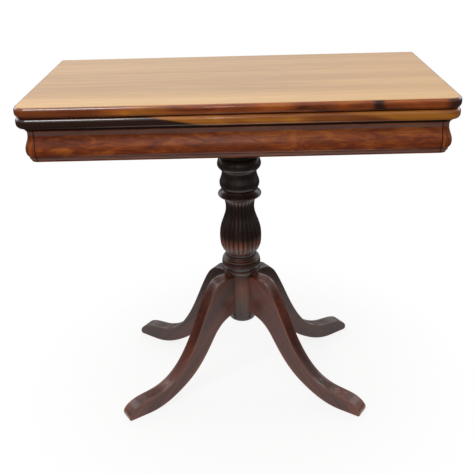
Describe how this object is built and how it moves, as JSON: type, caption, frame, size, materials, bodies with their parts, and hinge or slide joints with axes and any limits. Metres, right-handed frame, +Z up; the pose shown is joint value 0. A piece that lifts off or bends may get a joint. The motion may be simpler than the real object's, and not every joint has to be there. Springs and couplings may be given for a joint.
{
  "type": "swivel-top games table",
  "caption": "Folding games table: a hinged double top that turns on a shallow apron frame, on a turned and reeded pedestal with sabre legs.",
  "frame": {"origin": "on the floor, under the middle of the apron frame and of the folded top", "axes": "+X right along the long edge, +Y to the back where the leaves are hinged, +Z up"},
  "size_m": [0.85, 0.4283, 0.762],
  "materials": {
    "top_mahogany": "sun-faded mahogany under glossy varnish",
    "apron_mahogany": "red-brown mahogany, glossy varnish",
    "pedestal_mahogany": "dark red-brown mahogany, glossy varnish",
    "secondary_wood": "planed and unvarnished",
    "brass": "aged brass",
    "steel": "plain steel",
    "felt": "green wool felt"
  },
  "bodies": {
    "frame": {"front_apron": "apron_mahogany", "back_apron": "secondary_wood", "left_apron": "apron_mahogany", "right_apron": "apron_mahogany", "front_left_corner": "apron_mahogany", "front_right_corner": "apron_mahogany", "glue_blocks": "secondary_wood", "glide_strips": "felt", "pivot_rail": "secondary_wood", "pivot_bush": "brass", "left_bearer": "secondary_wood", "right_bearer": "secondary_wood", "well_board": "secondary_wood", "well_ledges": "secondary_wood", "well_screws": "brass", "mounting_block": "pedestal_mahogany", "block_screws": "steel", "column": "pedestal_mahogany", "tenon_wedge": "secondary_wood", "column_cap": "pedestal_mahogany", "cap_screw": "brass", "front_left_leg": "pedestal_mahogany", "front_right_leg": "pedestal_mahogany", "back_left_leg": "pedestal_mahogany", "back_right_leg": "pedestal_mahogany"},
    "swivel_leaf": {"lower_leaf": "top_mahogany", "pivot_plate": "steel", "plate_screws": "steel", "pivot_bolt": "steel", "pivot_washer": "steel", "pivot_nut": "steel", "stop_peg": "secondary_wood", "lower_left_hinge_plate": "brass", "lower_right_hinge_plate": "brass", "lower_hinge_screws": "brass", "hinge_pins": "brass"},
    "folding_leaf": {"upper_leaf": "top_mahogany", "upper_left_hinge_plate": "brass", "upper_right_hinge_plate": "brass", "upper_hinge_screws": "brass"}
  },
  "joints": [
    {"name": "top_swivel", "type": "hinge", "parent": "frame", "child": "swivel_leaf", "pos_m": [0.10625, 0.10625, 0.7196], "axis": [0, 0, 1], "range_deg": [0, 90]},
    {"name": "leaf_fold", "type": "hinge", "parent": "swivel_leaf", "child": "folding_leaf", "pos_m": [0, 0.2128, 0.7408], "axis": [-1, 0, 0], "range_deg": [0, 180]}
  ]
}
